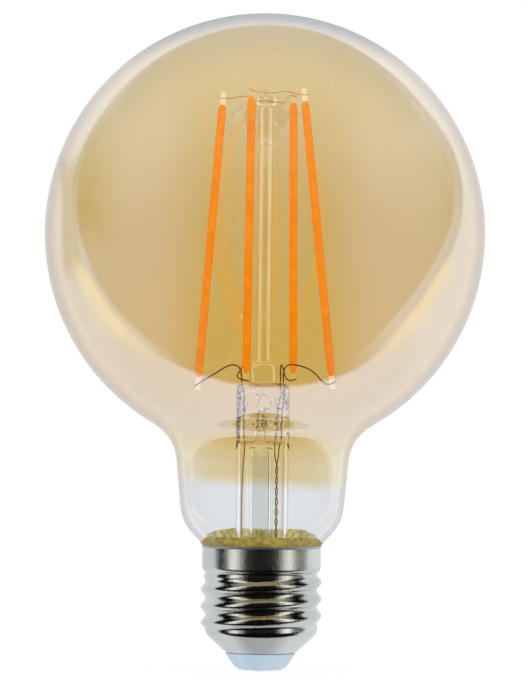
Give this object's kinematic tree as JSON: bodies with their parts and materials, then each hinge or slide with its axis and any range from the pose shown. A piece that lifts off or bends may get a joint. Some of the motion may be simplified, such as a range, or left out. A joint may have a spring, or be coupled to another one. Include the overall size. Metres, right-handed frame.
{
  "type": "smart light bulb",
  "caption": "Globe-shaped LED filament lamp with a gold-coated glass bulb, a clear neck, a glass stem, an Edison screw cap and a radio-controlled driver inside the cap.",
  "frame": {"origin": "centre of the flat lower face of the centre contact, the lowest point of the lamp", "axes": "+Z along the lamp's axis from the contact to the crown of the globe; -Y is the front, from which two filaments stand at the left and two at the right of the support column; +X is to the right seen from the front"},
  "size_m": [0.095, 0.095, 0.1417],
  "materials": {
    "coated_glass": "blown glass with a gold dichroic coating that ends above the neck",
    "stem_glass": "clear drawn glass",
    "nickel_plate": "bright nickel plating",
    "nickel_wire": "drawn nickel wire",
    "copper_clad": "copper-clad seal wire, oxidised",
    "phosphor": "silicone filled with orange phosphor",
    "tab_metal": "plated iron strip",
    "filament_strip": "white ceramic strip",
    "insulator": "pale blue-white moulded plastic",
    "contact_metal": "nickel-plated steel",
    "cement": "baked olive-brown capping cement",
    "circuit_board": "green solder resist",
    "radio_board": "blue solder resist",
    "black_plastic": "black moulding compound",
    "ferrite": "sintered ferrite",
    "copper_winding": "enamelled copper wire",
    "shield_can": "tin-plated sheet",
    "ceramic": "unglazed ceramic",
    "sleeve": "shrink sleeve",
    "insulation_red": "red silicone insulation",
    "insulation_white": "white silicone insulation"
  },
  "bodies": {
    "root": {"anchor_wire_lower": "nickel_wire", "anchor_wire_upper": "nickel_wire", "bridge_rectifier": "black_plastic", "cap_insulator": "insulator", "cap_shell": "nickel_plate", "capping_cement": "cement", "centre_contact": "contact_metal", "column_bead": "stem_glass", "controller_chip": "black_plastic", "driver_board": "circuit_board", "exhaust_tube": "stem_glass", "filament_back_body": "phosphor", "filament_back_lower_tab": "tab_metal", "filament_back_strip": "filament_strip", "filament_back_upper_tab": "tab_metal", "filament_front_body": "phosphor", "filament_front_lower_tab": "tab_metal", "filament_front_strip": "filament_strip", "filament_front_upper_tab": "tab_metal", "filament_left_body": "phosphor", "filament_left_lower_tab": "tab_metal", "filament_left_strip": "filament_strip", "filament_left_upper_tab": "tab_metal", "filament_right_body": "phosphor", "filament_right_lower_tab": "tab_metal", "filament_right_strip": "filament_strip", "filament_right_upper_tab": "tab_metal", "fusible_resistor": "ceramic", "glass_envelope": "coated_glass", "inductor_coil": "copper_winding", "inductor_core": "ferrite", "inner_lead_back": "nickel_wire", "inner_lead_front": "nickel_wire", "inner_lead_left": "nickel_wire", "inner_lead_right": "nickel_wire", "live_wire": "insulation_red", "neutral_wire": "insulation_white", "outer_lead_left": "nickel_wire", "outer_lead_stub": "nickel_wire", "outer_lead_twisted_a": "nickel_wire", "outer_lead_twisted_b": "nickel_wire", "radio_antenna": "ceramic", "radio_board": "radio_board", "radio_shield": "shield_can", "seal_wire_left_inner": "copper_clad", "seal_wire_left_outer": "copper_clad", "seal_wire_right_inner": "copper_clad", "seal_wire_right_outer": "copper_clad", "smoothing_capacitor": "sleeve", "stem_flare": "stem_glass", "support_column": "stem_glass"}
  },
  "joints": []
}
